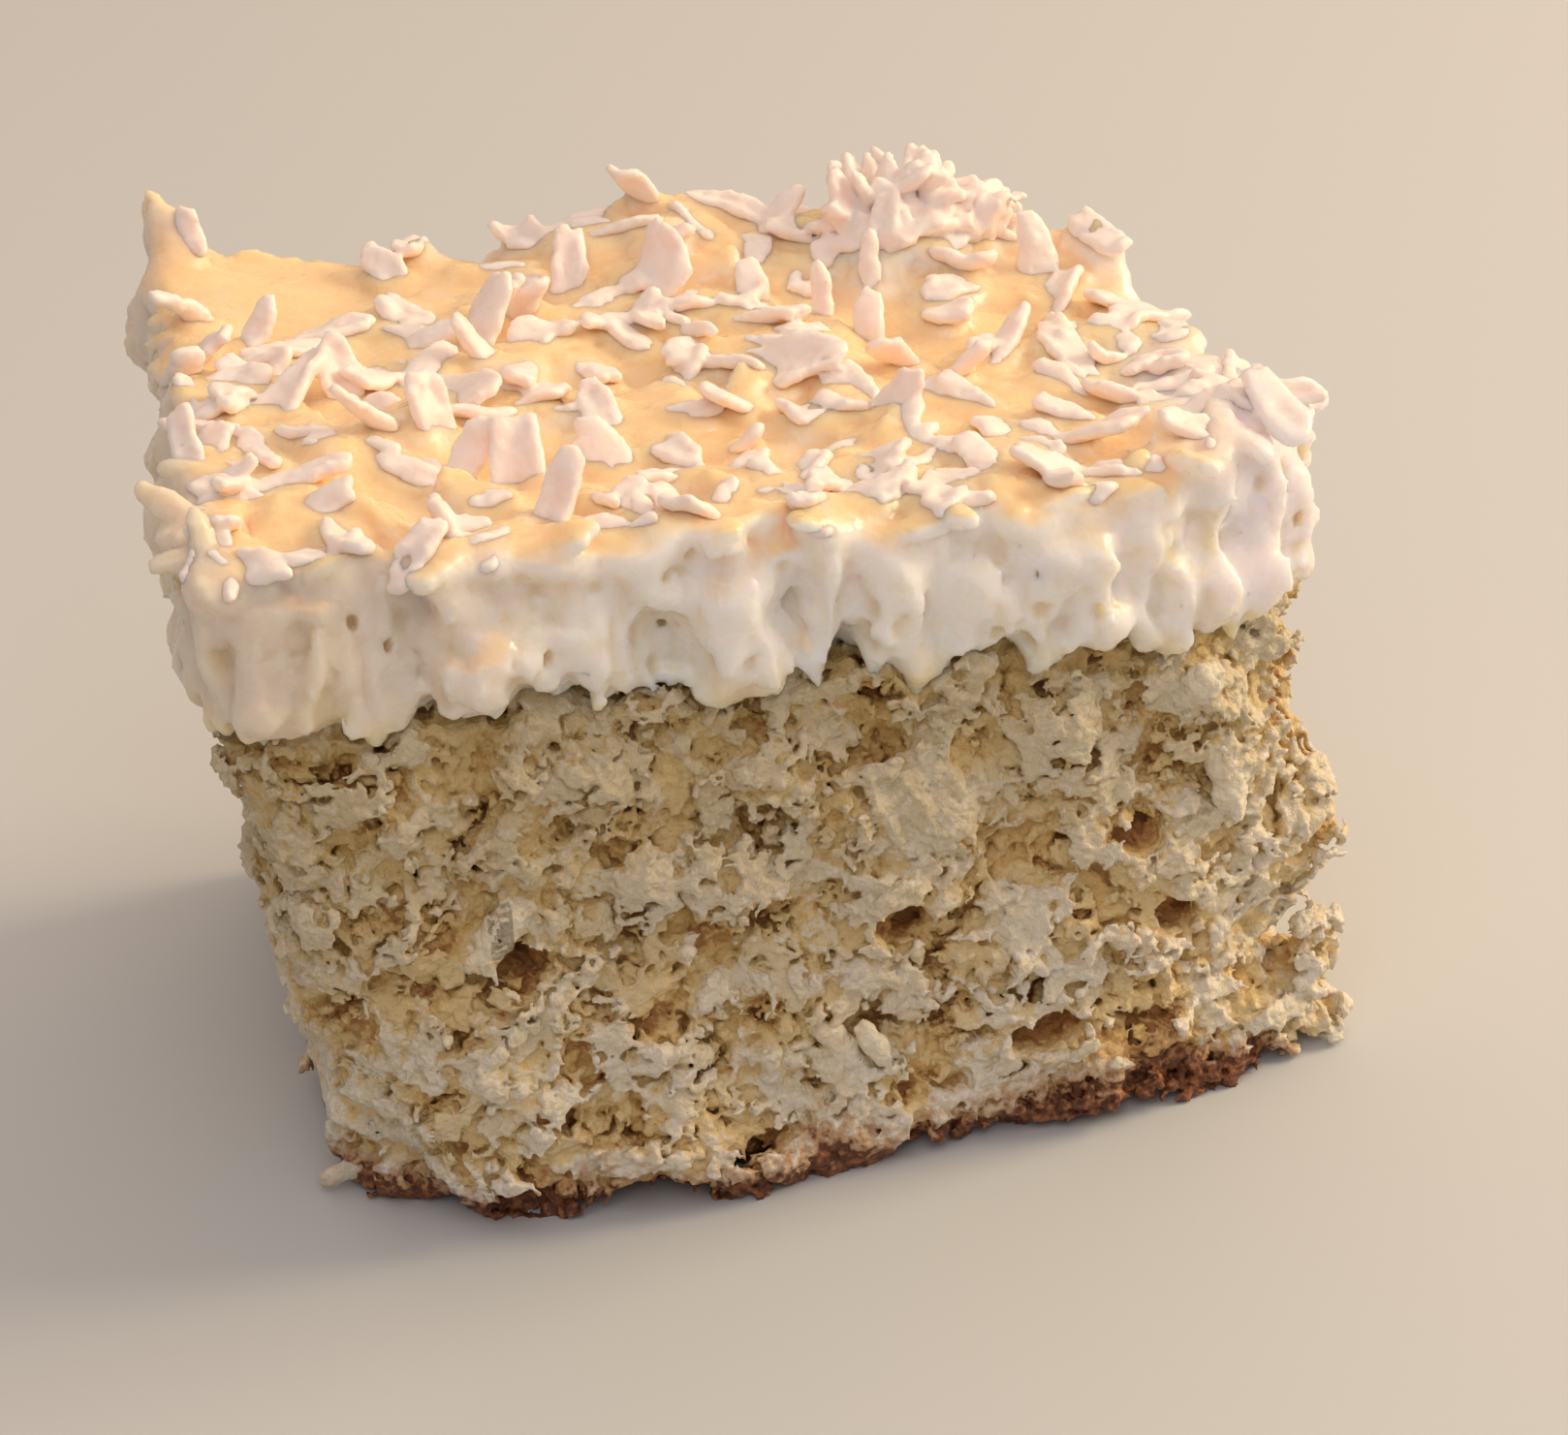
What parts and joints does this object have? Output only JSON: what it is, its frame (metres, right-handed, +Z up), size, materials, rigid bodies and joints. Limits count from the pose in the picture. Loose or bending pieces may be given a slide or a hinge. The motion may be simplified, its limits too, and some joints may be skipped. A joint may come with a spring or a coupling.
{
  "type": "slice of coconut cake",
  "caption": "A hand-cut square slice of coconut sponge cake with a torn crumb, a browned underside and a thick layer of pale frosting strewn with coconut flakes.",
  "frame": {"origin": "on the flat underside, under the middle of the slice's bounding box", "axes": "+X along the cut front from left to right as seen from the front, +Y from the front to the back, +Z up"},
  "size_m": [0.0651, 0.0483, 0.0461],
  "materials": {
    "sponge": "matt, porous, torn crumb",
    "frosting": "satin, creamy, with whiter dry flakes"
  },
  "bodies": {
    "root": {"sponge": "sponge", "frosting": "frosting"}
  },
  "joints": []
}
